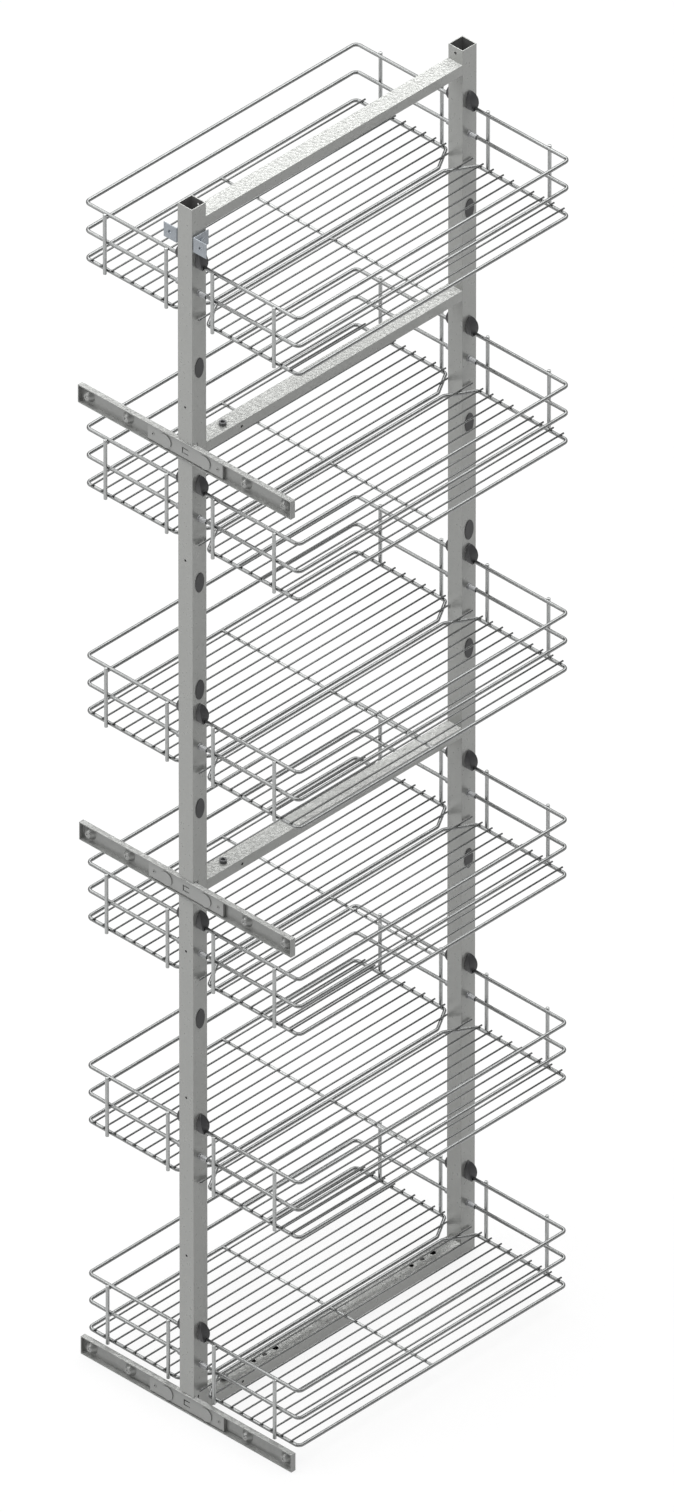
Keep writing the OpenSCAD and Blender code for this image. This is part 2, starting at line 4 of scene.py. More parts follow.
import bmesh
import bpy
from bpy.props import FloatProperty, FloatVectorProperty, IntProperty, PointerProperty
from mathutils import Matrix, Vector


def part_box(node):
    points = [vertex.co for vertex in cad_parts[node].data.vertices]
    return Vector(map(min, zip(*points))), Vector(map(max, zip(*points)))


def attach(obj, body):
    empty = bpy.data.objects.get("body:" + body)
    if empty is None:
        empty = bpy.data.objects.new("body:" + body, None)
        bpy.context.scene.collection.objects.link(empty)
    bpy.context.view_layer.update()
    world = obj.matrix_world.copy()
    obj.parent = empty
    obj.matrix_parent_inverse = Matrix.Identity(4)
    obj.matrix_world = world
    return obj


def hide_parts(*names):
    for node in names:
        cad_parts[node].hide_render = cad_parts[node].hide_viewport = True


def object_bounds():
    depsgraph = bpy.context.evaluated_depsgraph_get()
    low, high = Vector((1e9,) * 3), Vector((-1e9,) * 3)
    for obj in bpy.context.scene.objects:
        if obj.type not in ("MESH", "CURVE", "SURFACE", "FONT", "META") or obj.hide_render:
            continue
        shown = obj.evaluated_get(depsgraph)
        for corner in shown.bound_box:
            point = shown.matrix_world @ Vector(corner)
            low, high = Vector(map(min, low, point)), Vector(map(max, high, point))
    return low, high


bl_info = {
    "name": "Pull-out pantry frame",
    "version": (1, 0, 0),
    "blender": (4, 5, 0),
    "location": "View3D > Sidebar > Pantry",
    "description": "Builds the finishes, baskets and studio of a pull-out pantry frame",
    "category": "Object",
}

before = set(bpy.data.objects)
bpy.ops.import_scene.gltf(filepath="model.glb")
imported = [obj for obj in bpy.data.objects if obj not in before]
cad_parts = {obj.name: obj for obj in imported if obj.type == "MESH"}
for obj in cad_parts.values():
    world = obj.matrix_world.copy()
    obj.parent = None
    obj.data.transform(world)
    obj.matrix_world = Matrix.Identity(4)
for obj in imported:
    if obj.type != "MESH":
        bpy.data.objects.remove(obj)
CAD_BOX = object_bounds()
MM = 0.001
UP = Vector((0, 0, 1))

# Parts of the nodes' names
SIDES = {"left": -1, "right": 1}
ENDS = ("front", "rear")
BARS = ("upper", "lower", "bottom")
TIERS = range(1, 7)
POSTS = ("front_post", "rear_post")
RAILS = ("top_rail", "upper_rail", "lower_rail", "bottom_rail")

# Angles between two faces that make them one flat, a sharp edge or a wire's cut end
FLAT = math.radians(0.5)
SHARP = math.radians(50)
CUT_END = math.radians(75)

# Points of a solid or of a wire that are closer than this are one point
SOLID_MERGE = 2e-6
WIRE_MERGE = 5e-6

# Shortest edges that are eased on the tube, the sheet, the plates and the small pieces
TUBE_EDGE = 8 * MM
SHEET_EDGE = 5 * MM
PLATE_EDGE = 3 * MM
ANY_EDGE = 0
ROUND_SEGMENTS = 2

# Axes that a tube can run along, and the depth of its outer skin and of its end rims, which
# keep the outer finish; deeper in, the bore and holes are painted near black as shade
ALONG_Y = 1
ALONG_Z = 2
TUBE_SKIN = 0.3 * MM
TUBE_RIM = 1 * MM

# Drawn wire: degrees in a step of a bend, fewest steps of a bend, how far the floor frame
# reaches into the uprights, and a thin wire's share of a full weld bead
BEND_DEGREES = 11
LEAST_BEND_STEPS = 4
WELD_TOUCH = 0.02 * MM
THIN_BEAD = 0.8

# Places of the finishes in a tube's and in a wire piece's list of materials: the tube's painted
# inside shade, the wires' lighter painted copy and their darker painted copy
INSIDE_SHADE = 1
SATIN_LIT = 1
SHADED_FLOOR = 2

# Grain: noise detail and roughness, the part of the noise that is used, the upward share of a
# face's normal at which the grain starts and is full, the tone without it, and its height
# as a share of its size
GRAIN_DETAIL = 2
CLOUD_DETAIL = 3
NOISE_ROUGHNESS = 0.6
NOISE_SPAN = (0.3, 0.7)
LEVEL_SPAN = (0.5, 0.9)
EVEN_TONE = 0.5
RELIEF = 0.25

# Studio: places and sizes of the soft boxes, what they aim at, the way that the sky's bright
# ring leans, the cosines from that way at which it starts and ends, the camera and the floor
FRONT_BOX = Vector((-2.4, -3.8, 3.6))
FRONT_BOX_SIZE = 4
TOP_BOX = Vector((-0.3, 0.3, 3.25))
TOP_BOX_SIZE = 2
LAMP_AIM = Vector((0, 0, 0.9))
RING_LEAN = Vector((-0.2, 0.2, 0.96)).normalized()
RING_START = (0.7, 0.8)
RING_END = (0.88, 0.95)
SENSOR = (40, 18)
NEAR_CLIP = 1
FAR_CLIP = 4
FLOOR_HALF = 40
FLOOR_DROP = 0.2 * MM


# Sizes and colours that a user would change

class PantryFinish(bpy.types.PropertyGroup):
    """Colours and surface sizes of the frame's finishes"""
    tube_grey: FloatVectorProperty(
        name="Tube grey", description="Galvanised tube of the posts and rails",
        subtype="COLOR", default=(0.43, 0.436, 0.421), min=0, max=1)
    # Painted shade: near black standing in for the shade deep in the tube's bore and holes
    inside_shade_grey: FloatVectorProperty(
        name="Inside shade grey", description="Near black painted as the shade inside the tube of the posts and rails",
        subtype="COLOR", default=(0.06, 0.06, 0.058), min=0, max=1)
    sheet_grey: FloatVectorProperty(
        name="Sheet grey", description="Pressed sheet of the front bars",
        subtype="COLOR", default=(0.36, 0.365, 0.355), min=0, max=1)
    plate_grey: FloatVectorProperty(
        name="Plate grey", description="Adjuster plates and arms in the front bars",
        subtype="COLOR", default=(0.4, 0.405, 0.395), min=0, max=1)
    wire_grey: FloatVectorProperty(
        name="Wire grey", description="Bright plating of the baskets' rails and floor frames",
        subtype="COLOR", default=(0.25, 0.255, 0.253), min=0, max=1)
    # Painted light: a lighter copy of the rails' wire grey, for how brightly the uprights and cross
    # wires catch the light
    satin_lit_grey: FloatVectorProperty(
        name="Satin lit grey", description="Satin plating painted lighter on the baskets' uprights and cross wires",
        subtype="COLOR", default=(0.42, 0.428, 0.424), min=0, max=1)
    # Painted shade: a darker copy of the rails' wire grey for the thin floor wires
    floor_wire_shade_grey: FloatVectorProperty(
        name="Floor wire shade grey", description="Plating painted darker on the baskets' thin floor wires",
        subtype="COLOR", default=(0.16, 0.164, 0.162), min=0, max=1)
    clip_black: FloatVectorProperty(
        name="Clip black", description="Moulded plastic of the clips and plugs",
        subtype="COLOR", default=(0.045, 0.045, 0.047), min=0, max=1)
    sleeve_grey: FloatVectorProperty(
        name="Sleeve grey", description="Turned sleeves of the mid rails",
        subtype="COLOR", default=(0.3, 0.305, 0.31), min=0, max=1)
    zinc_blue: FloatVectorProperty(
        name="Zinc blue", description="Blue zinc plate of the side brackets",
        subtype="COLOR", default=(0.38, 0.41, 0.445), min=0, max=1)
    screw_grey: FloatVectorProperty(
        name="Screw grey", description="Blackened steel of the clamp screws",
        subtype="COLOR", default=(0.13, 0.132, 0.135), min=0, max=1)
    grain: FloatProperty(
        name="Grain", description="Size of the plating's fine grain",
        subtype="DISTANCE", unit="LENGTH", default=1.6 * MM, min=0.2 * MM)
    spangle: FloatProperty(
        name="Spangle", description="Size of the zinc grains on the tube",
        subtype="DISTANCE", unit="LENGTH", default=4.5 * MM, min=0.2 * MM)
    cloud: FloatProperty(
        name="Cloud", description="Size of the plating's soft patches",
        subtype="DISTANCE", unit="LENGTH", default=28 * MM, min=2 * MM)
    tube_round: FloatProperty(
        name="Tube round", description="Rounding of the tube's edges",
        subtype="DISTANCE", unit="LENGTH", default=0.3 * MM, min=0.05 * MM)
    edge_round: FloatProperty(
        name="Edge round", description="Rounding of the sheet's edges",
        subtype="DISTANCE", unit="LENGTH", default=0.5 * MM, min=0.05 * MM)
    clip_round: FloatProperty(
        name="Clip round", description="Rounding of the clips' and plugs' edges",
        subtype="DISTANCE", unit="LENGTH", default=0.5 * MM, min=0.05 * MM)
    sleeve_round: FloatProperty(
        name="Sleeve round", description="Rounding of the sleeves' and screws' edges",
        subtype="DISTANCE", unit="LENGTH", default=0.25 * MM, min=0.05 * MM)


class PantryWire(bpy.types.PropertyGroup):
    """Sizes of the drawn wire in the half-baskets"""
    rail_d: FloatProperty(
        name="Rail wire", description="Diameter of the rails, uprights and floor frame",
        subtype="DISTANCE", unit="LENGTH", default=5 * MM, min=1 * MM)
    thin_d: FloatProperty(
        name="Floor wire", description="Diameter of the thin floor wires",
        subtype="DISTANCE", unit="LENGTH", default=2.5 * MM, min=1 * MM)
    cross_d: FloatProperty(
        name="Cross wire", description="Diameter of the wire under the floor",
        subtype="DISTANCE", unit="LENGTH", default=4 * MM, min=1 * MM)
    bend: FloatProperty(
        name="Bend", description="Centre line radius of the corners",
        subtype="DISTANCE", unit="LENGTH", default=7 * MM, min=3 * MM)
    spacing: FloatProperty(
        name="Level spacing", description="Spacing of the top rail, mid rail and floor",
        subtype="DISTANCE", unit="LENGTH", default=42 * MM, min=10 * MM)
    rise: FloatProperty(
        name="Upright rise", description="How far the uprights stand past the top rail",
        subtype="DISTANCE", unit="LENGTH", default=2 * MM, min=0)
    clip_end: FloatProperty(
        name="Top rail end", description="Where the top rail's ends stop, from the middle plane",
        subtype="DISTANCE", unit="LENGTH", default=16.5 * MM, min=0)
    upright_near: FloatProperty(
        name="Inner uprights", description="Distance of the inner uprights from the middle plane",
        subtype="DISTANCE", unit="LENGTH", default=40 * MM, min=0)
    upright_inset: FloatProperty(
        name="Outer uprights", description="Distance of the outer uprights inside the outer wire",
        subtype="DISTANCE", unit="LENGTH", default=38 * MM, min=0)
    slant_x: FloatProperty(
        name="Slant across", description="Run of the floor's slanted corner along the width",
        subtype="DISTANCE", unit="LENGTH", default=23 * MM, min=0)
    slant_y: FloatProperty(
        name="Slant along", description="Run of the floor's slanted corner along the depth",
        subtype="DISTANCE", unit="LENGTH", default=38 * MM, min=0)
    first_x: FloatProperty(
        name="First floor wire",
        description="Distance of the first floor wire from the middle plane",
        subtype="DISTANCE", unit="LENGTH", default=14.85 * MM, min=0)
    last_inset: FloatProperty(
        name="Last floor wire", description="Distance of the last floor wire inside the outer wire",
        subtype="DISTANCE", unit="LENGTH", default=12.1 * MM, min=0)
    floor_count: IntProperty(
        name="Floor wires", description="Thin wires in a half-basket's floor", default=10, min=2)
    weld_sink: FloatProperty(
        name="Weld sink", description="How deep crossing wires are welded into each other",
        subtype="DISTANCE", unit="LENGTH", default=0.3 * MM, min=0.05 * MM)
    weld_bead: FloatProperty(
        name="Weld bead", description="Radius of the bead at a welded crossing",
        subtype="DISTANCE", unit="LENGTH", default=1.6 * MM, min=0.2 * MM)
    end_round: FloatProperty(
        name="End round", description="Rounding of the cut wire ends",
        subtype="DISTANCE", unit="LENGTH", default=0.5 * MM, min=0.05 * MM)
    sides: IntProperty(
        name="Sides", description="Faces round a rail wire", default=16, min=6, max=48)
    thin_sides: IntProperty(
        name="Thin sides", description="Faces round a thin floor wire", default=10, min=6, max=48)


class PantryStudio(bpy.types.PropertyGroup):
    """Camera, lights and floor"""
    azimuth: FloatProperty(
        name="Azimuth", description="Camera's turn round the frame from the door side",
        subtype="ANGLE", unit="ROTATION", default=math.radians(44.024))
    elevation: FloatProperty(
        name="Elevation", description="Camera's height over the horizon",
        subtype="ANGLE", unit="ROTATION", default=math.radians(35.197))
    view_height: FloatProperty(
        name="View height", description="Height of the picture at the frame",
        subtype="DISTANCE", unit="LENGTH", default=1.9089)
    aim_right: FloatProperty(
        name="Aim right", description="Picture's middle to the right of the origin",
        subtype="DISTANCE", unit="LENGTH", default=0.012)
    aim_up: FloatProperty(
        name="Aim up", description="Picture's middle above the origin, in the picture",
        subtype="DISTANCE", unit="LENGTH", default=0.7218)
    distance: FloatProperty(
        name="Distance", description="Camera's distance from the frame",
        subtype="DISTANCE", unit="LENGTH", default=77)
    fill: FloatProperty(
        name="Front light", description="Power of the soft box at the front left",
        subtype="POWER", unit="POWER", default=83)
    overhead: FloatProperty(
        name="Top light", description="Power of the soft box over the frame",
        subtype="POWER", unit="POWER", default=16)
    sky: FloatProperty(
        name="Sky", description="Strength of the even light all round", default=0.25, min=0)
    glow: FloatProperty(
        name="Glow",
        description="Strength that the sky gains in a ring that leans to the back left",
        default=3.3, min=0)
    floor_grey: FloatVectorProperty(
        name="Floor", description="Colour of the floor for the light that it sends back",
        subtype="COLOR", default=(0.25, 0.25, 0.25), min=0, max=1)
    floor_pale: FloatVectorProperty(
        name="Floor as seen",
        description="Colour of the floor as it is seen, where shadows fall on it",
        subtype="COLOR", default=(0.9, 0.9, 0.9), min=0, max=1)
    floor_white: FloatProperty(
        name="Floor white", description="Share of plain white in the floor as it is seen",
        subtype="FACTOR", default=0.85, min=0, max=1)


# Shader building

def link(tree, out_socket, in_socket):
    """Joins two sockets."""
    tree.links.new(out_socket, in_socket)


def grain_group():
    """The shader group that gives each metal its fine grain and soft patches."""
    name = "Plating grain"
    if name in bpy.data.node_groups:
        return bpy.data.node_groups[name]
    tree = bpy.data.node_groups.new(name, "ShaderNodeTree")
    for label in ("Grain size", "Cloud size", "Grain share", "Side share"):
        tree.interface.new_socket(label, in_out="INPUT", socket_type="NodeSocketFloat")
    for label in ("Tone", "Height"):
        tree.interface.new_socket(label, in_out="OUTPUT", socket_type="NodeSocketFloat")
    nodes = tree.nodes
    inputs = nodes.new("NodeGroupInput")
    outputs = nodes.new("NodeGroupOutput")
    place = nodes.new("ShaderNodeTexCoord")
    layers = []
    for label, detail in (("Grain size", GRAIN_DETAIL), ("Cloud size", CLOUD_DETAIL)):
        scale = nodes.new("ShaderNodeMath")
        scale.operation = "DIVIDE"
        scale.inputs[0].default_value = 1
        link(tree, inputs.outputs[label], scale.inputs[1])
        noise = nodes.new("ShaderNodeTexNoise")
        noise.inputs["Detail"].default_value = detail
        noise.inputs["Roughness"].default_value = NOISE_ROUGHNESS
        link(tree, place.outputs["Object"], noise.inputs["Vector"])
        link(tree, scale.outputs[0], noise.inputs["Scale"])
        layers.append(noise.outputs["Fac"])
    fine, soft = layers
    blend = nodes.new("ShaderNodeMix")
    blend.data_type = "FLOAT"
    link(tree, inputs.outputs["Grain share"], blend.inputs["Factor"])
    link(tree, soft, blend.inputs["A"])
    link(tree, fine, blend.inputs["B"])
    spread = nodes.new("ShaderNodeMapRange")
    spread.inputs["From Min"].default_value, spread.inputs["From Max"].default_value = NOISE_SPAN
    link(tree, blend.outputs["Result"], spread.inputs["Value"])
    facing = nodes.new("ShaderNodeSeparateXYZ")
    link(tree, place.outputs["Normal"], facing.inputs[0])
    level = nodes.new("ShaderNodeMapRange")
    level.inputs["From Min"].default_value, level.inputs["From Max"].default_value = LEVEL_SPAN
    link(tree, facing.outputs["Z"], level.inputs["Value"])
    link(tree, inputs.outputs["Side share"], level.inputs["To Min"])
    tone = nodes.new("ShaderNodeMix")
    tone.data_type = "FLOAT"
    tone.inputs["A"].default_value = EVEN_TONE
    link(tree, level.outputs["Result"], tone.inputs["Factor"])
    link(tree, spread.outputs["Result"], tone.inputs["B"])
    link(tree, tone.outputs["Result"], outputs.inputs["Tone"])
    height = nodes.new("ShaderNodeMath")
    height.operation = "MULTIPLY"
    link(tree, fine, height.inputs[0])
    link(tree, level.outputs["Result"], height.inputs[1])
    link(tree, height.outputs[0], outputs.inputs["Height"])
    return tree


def plated(name, colour, grain, cloud, *, metallic, rough, swing, bump, share, side_share=1):
    """A finish whose tone and roughness swing with a grain that stands up a little.

    Share is the fine grain's part in the tone, and side_share what is left of the grain on faces
    that aren't level.
    """
    if name in bpy.data.materials:
        return bpy.data.materials[name]
    material = bpy.data.materials.new(name)
    material.use_nodes = True
    tree = material.node_tree
    shader = tree.nodes["Principled BSDF"]
    shader.inputs["Metallic"].default_value = metallic
    group = tree.nodes.new("ShaderNodeGroup")
    group.node_tree = grain_group()
    group.inputs["Grain size"].default_value = grain
    group.inputs["Cloud size"].default_value = cloud
    group.inputs["Grain share"].default_value = share
    group.inputs["Side share"].default_value = side_share
    ramp = tree.nodes.new("ShaderNodeMix")
    ramp.data_type = "RGBA"
    ramp.inputs["A"].default_value = [c * (1 - swing) for c in colour] + [1]
    ramp.inputs["B"].default_value = [min(1, c * (1 + swing)) for c in colour] + [1]
    link(tree, group.outputs["Tone"], ramp.inputs["Factor"])
    link(tree, ramp.outputs["Result"], shader.inputs["Base Color"])
    gloss = tree.nodes.new("ShaderNodeMapRange")
    gloss.inputs["To Min"].default_value = rough * (1 + swing)
    gloss.inputs["To Max"].default_value = rough * (1 - swing)
    link(tree, group.outputs["Tone"], gloss.inputs["Value"])
    link(tree, gloss.outputs["Result"], shader.inputs["Roughness"])
    relief = tree.nodes.new("ShaderNodeBump")
    relief.inputs["Strength"].default_value = bump
    relief.inputs["Distance"].default_value = grain * RELIEF
    link(tree, group.outputs["Height"], relief.inputs["Height"])
    link(tree, relief.outputs["Normal"], shader.inputs["Normal"])
    return material


def galvanised(finish):
    """Spangled zinc on the square tube."""
    return plated(
        "Galvanised tube", finish.tube_grey, finish.spangle, finish.cloud,
        metallic=0.3, rough=0.28, swing=0.22, bump=0.9, share=0.8, side_share=0.15)


def painted_inside_shade(finish):
    """Dull steel inside the tube, painted near black as the shade in its bore and holes."""
    return plated(
        "Painted tube shade", finish.inside_shade_grey, finish.grain, finish.cloud,
        metallic=0, rough=0.7, swing=0.12, bump=0.2, share=0.5)


def pressed_sheet(finish):
    """Zinc on the pressed front bars."""
    return plated(
        "Pressed sheet", finish.sheet_grey, finish.spangle, finish.cloud,
        metallic=0.3, rough=0.32, swing=0.22, bump=0.9, share=0.7, side_share=0.3)


def adjuster_sheet(finish):
    """Zinc on the adjuster plates and arms."""
    return plated(
        "Adjuster sheet", finish.plate_grey, finish.spangle, finish.cloud,
        metallic=0.3, rough=0.32, swing=0.08, bump=0.9, share=0.5, side_share=0.1)


def bright_wire(finish):
    """Bright plating on the drawn wire of the rails and floor frames."""
    return plated(
        "Bright wire", finish.wire_grey, finish.grain, finish.cloud,
        metallic=0.85, rough=0.2, swing=0.2, bump=0.35, share=0.8)


def satin_lit_wire(finish):
    """Satin plating on the uprights and cross wires, coloured lighter than the rails' plating as
    painted light.
    """
    return plated(
        "Satin lit wire", finish.satin_lit_grey, finish.grain, finish.cloud,
        metallic=0.85, rough=0.3, swing=0.15, bump=0.3, share=0.8)


def floor_wire(finish):
    """The rails' plating coloured darker on the thin floor wires, as painted shade."""
    return plated(
        "Floor wire", finish.floor_wire_shade_grey, finish.grain, finish.cloud,
        metallic=0.85, rough=0.2, swing=0.2, bump=0.35, share=0.8)


def turned_sleeve(finish):
    """Satin metal of the mid rails' sleeves."""
    return plated(
        "Turned sleeve", finish.sleeve_grey, finish.grain, finish.cloud,
        metallic=0.6, rough=0.34, swing=0.12, bump=0.15, share=0.5)


def blue_zinc(finish):
    """Bluish plating of the side brackets and their screws."""
    return plated(
        "Blue zinc", finish.zinc_blue, finish.grain, finish.cloud,
        metallic=0.35, rough=0.36, swing=0.14, bump=0.2, share=0.5)


def black_screw(finish):
    """Blackened socket screws."""
    return plated(
        "Black screw", finish.screw_grey, finish.grain, finish.cloud,
        metallic=0.5, rough=0.35, swing=0.2, bump=0.2, share=0.6)


def clip_plastic(finish):
    """Fine moulded plastic of the clips and plugs."""
    return plated(
        "Clip plastic", finish.clip_black, finish.grain / 2, finish.cloud,
        metallic=0, rough=0.46, swing=0.18, bump=0.2, share=0.6)


# Mesh building

def new_piece(bm, name, body, materials, stands_for):
    """Makes a piece from a bmesh, with its body, finishes and the nodes that it stands for."""
    mesh = bpy.data.meshes.new(name)
    bm.to_mesh(mesh)
    bm.free()
    for material in materials:
        mesh.materials.append(material)
    piece = bpy.data.objects.new(name, mesh)
    bpy.context.scene.collection.objects.link(piece)
    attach(piece, body)
    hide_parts(*stands_for)
    return piece


def shade(bm):
    """Smooth shading with creases at sharp edges."""
    for face in bm.faces:
        face.smooth = True
    for edge in bm.edges:
        edge.smooth = edge.is_manifold and edge.calc_face_angle() < SHARP


def edges_over(bm, angle, shortest=ANY_EDGE):
    """The edges whose faces meet at more than an angle and that are longer than a length."""
    return [
        edge for edge in bm.edges
        if edge.is_manifold and edge.calc_face_angle() > angle and edge.calc_length() > shortest
    ]


def ease_edges(node, body, materials, width, shortest):
    """Stands a copy of a solid in its place, with a small round on its long sharp edges."""
    bm = bmesh.new()
    bm.from_mesh(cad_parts[node].data)
    bmesh.ops.remove_doubles(bm, verts=bm.verts[:], dist=SOLID_MERGE)
    bmesh.ops.dissolve_limit(bm, angle_limit=FLAT, verts=bm.verts[:], edges=bm.edges[:])
    bmesh.ops.bevel(
        bm, geom=edges_over(bm, SHARP, shortest), offset=width, offset_type="OFFSET",
        affect="EDGES", segments=ROUND_SEGMENTS, profile=0.5, material=-1, clamp_overlap=False)
    shade(bm)
    piece = new_piece(bm, node + "_eased", body, materials, [node])
    normals = piece.modifiers.new("Flat faces", "WEIGHTED_NORMAL")
    normals.keep_sharp = True
    return piece


def paint_inside_shade(piece, node, along):
    """Paints the walls of a tube's bore and holes, but not its end rims, near black as shade."""
    low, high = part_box(node)
    middle, half = (low + high) / 2, (high - low) / 2
    reach = half - Vector((TUBE_SKIN, TUBE_SKIN, TUBE_SKIN))
    reach[along] = half[along] - TUBE_RIM
    for face in piece.data.polygons:
        offset = face.center - middle
        if all(abs(offset[axis]) < reach[axis] for axis in range(3)):
            face.material_index = INSIDE_SHADE


def heading(direction):
    """The matrix that turns Z into a direction."""
    return direction.to_track_quat("Z", "Y").to_matrix().to_4x4()


def rod(bm, start, end, diameter, sides):
    """A straight wire with closed ends."""
    span = end - start
    bmesh.ops.create_cone(
        bm, cap_ends=True, segments=sides, radius1=diameter / 2, radius2=diameter / 2,
        depth=span.length, matrix=Matrix.Translation((start + end) / 2) @ heading(span))


def bent_wire(bm, points, diameter, bend, sides, closed):
    """A level wire through points that turn left, drawn as straight runs and spun bends."""
    count = len(points)
    ways = [(points[(i + 1) % count] - points[i]).normalized() for i in range(count)]
    trims = []
    for i in range(count):
        turn = ways[i - 1].angle(ways[i])
        trims.append((turn, bend * math.tan(turn / 2)))
    if not closed:
        trims[0] = trims[-1] = (0, 0)
    start = points[0] + ways[0] * trims[0][1]
    ring = bmesh.ops.create_circle(
        bm, cap_ends=not closed, segments=sides, radius=diameter / 2,
        matrix=Matrix.Translation(start) @ heading(ways[0]))["verts"]
    edges = list({edge for vert in ring for edge in vert.link_edges})
    runs = count if closed else count - 1
    for i in range(runs):
        after = (i + 1) % count
        turn, trim = trims[after]
        length = (points[after] - points[i]).length - trims[i][1] - trim
        grown = bmesh.ops.extrude_edge_only(bm, edges=edges)["geom"]
        verts = [g for g in grown if isinstance(g, bmesh.types.BMVert)]
        edges = [g for g in grown if isinstance(g, bmesh.types.BMEdge)]
        bmesh.ops.translate(bm, verts=verts, vec=ways[i] * length)
        if turn:
            centre = points[after] - ways[i] * trim + UP.cross(ways[i]) * bend
            steps = max(LEAST_BEND_STEPS, round(math.degrees(turn) / BEND_DEGREES))
            spun = bmesh.ops.spin(
                bm, geom=edges, cent=centre, axis=UP, angle=turn, steps=steps,
                use_merge=False, use_duplicate=False)["geom_last"]
            edges = [g for g in spun if isinstance(g, bmesh.types.BMEdge)]
    if not closed:
        bmesh.ops.edgeloop_fill(bm, edges=edges)


def weld_bead(bm, point, radius):
    """A small bead of metal at a welded crossing."""
    bmesh.ops.create_icosphere(bm, subdivisions=1, radius=radius, matrix=Matrix.Translation(point))


def finish_later(bm, earlier, index):
    """Gives the faces that were added after the earlier ones another finish of the piece."""
    for face in bm.faces:
        if face not in earlier:
            face.material_index = index


def close_wires(bm, wire):
    """Closes the seams and rounds the cut ends."""
    bmesh.ops.remove_doubles(bm, verts=bm.verts[:], dist=WIRE_MERGE)
    bmesh.ops.bevel(
        bm, geom=edges_over(bm, CUT_END), offset=wire.end_round, offset_type="OFFSET",
        affect="EDGES", segments=ROUND_SEGMENTS, profile=0.5, material=-1, clamp_overlap=True)


def turn_out(bm, sign):
    """Mirrors a right-hand basket for the left, and shades it."""
    if sign < 0:
        bmesh.ops.scale(bm, vec=(-1, 1, 1), verts=bm.verts[:])
    bmesh.ops.recalc_face_normals(bm, faces=bm.faces[:])
    shade(bm)


def basket_places(wire):
    """Where the wires of a right-hand half-basket run, read off the solids."""
    rails_low, rails_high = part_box("tier_1_right_rails")
    floor_low, floor_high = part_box("tier_1_right_floor")
    outer_x = rails_high.x - wire.rail_d / 2
    upright_y = rails_high.y - wire.rail_d / 2
    return {
        "outer_x": outer_x,
        "rail_y": upright_y - wire.rail_d + wire.weld_sink,
        "upright_y": upright_y,
        "sleeve_end": rails_low.x,
        "inner_x": floor_low.x + wire.rail_d / 2,
        "floor_reach": floor_high.y,
    }


# Operators, one for each group of pieces

class PANTRY_OT_tube_frame(bpy.types.Operator):
    """Finish the posts and cross rails as galvanised tube"""
    bl_idname = "pantry.tube_frame"
    bl_label = "Posts and rails"

    def execute(self, context):
        finish = context.scene.pantry_finish
        # The second finish is painted shade for the walls of the tube's bore and holes
        materials = [galvanised(finish), painted_inside_shade(finish)]
        along = dict.fromkeys(POSTS, ALONG_Z) | dict.fromkeys(RAILS, ALONG_Y)
        for node in POSTS + RAILS:
            piece = ease_edges(
                node, "frame", materials, finish.tube_round, TUBE_EDGE)
            paint_inside_shade(piece, node, along[node])
            # The wires beside the posts stay bright, because they don't mirror them
            piece.visible_glossy = node not in POSTS
        return {"FINISHED"}


class PANTRY_OT_front_bars(bpy.types.Operator):
    """Finish the three front bars, their adjuster plates and arms"""
    bl_idname = "pantry.front_bars"
    bl_label = "Front bars"

    def execute(self, context):
        finish = context.scene.pantry_finish
        for bar in BARS:
            ease_edges(
                f"{bar}_bar", f"{bar}_door_bar", [pressed_sheet(finish)],
                finish.edge_round, SHEET_EDGE)
            for node in (f"{bar}_bar_plate", f"{bar}_bar_arm"):
                ease_edges(
                    node, f"{bar}_bar_bracket", [adjuster_sheet(finish)],
                    finish.sleeve_round, PLATE_EDGE)
        return {"FINISHED"}


class PANTRY_OT_side_brackets(bpy.types.Operator):
    """Finish the two side brackets, their screws and the clamp screws"""
    bl_idname = "pantry.side_brackets"
    bl_label = "Side brackets and screws"

    def execute(self, context):
        finish = context.scene.pantry_finish
        zinc = [blue_zinc(finish)]
        for side in SIDES:
            ease_edges(
                f"{side}_bracket", "frame", zinc, finish.edge_round, SHEET_EDGE)
        ease_edges("bracket_screws", "frame", zinc, finish.sleeve_round, ANY_EDGE)
        ease_edges(
            "clamp_screws", "frame", [black_screw(finish)],
            finish.sleeve_round, ANY_EDGE)
        return {"FINISHED"}


class PANTRY_OT_basket_fittings(bpy.types.Operator):
    """Finish the clips, plugs and sleeves on the posts"""
    bl_idname = "pantry.basket_fittings"
    bl_label = "Basket fittings"

    def execute(self, context):
        finish = context.scene.pantry_finish
        for end in ENDS:
            for side in SIDES:
                place = f"{end}_{side}"
                for kind in ("clips", "plugs"):
                    ease_edges(
                        f"{place}_{kind}", "frame", [clip_plastic(finish)],
                        finish.clip_round, ANY_EDGE)
                ease_edges(
                    f"{place}_sleeves", "frame", [turned_sleeve(finish)],
                    finish.sleeve_round, ANY_EDGE)
        return {"FINISHED"}


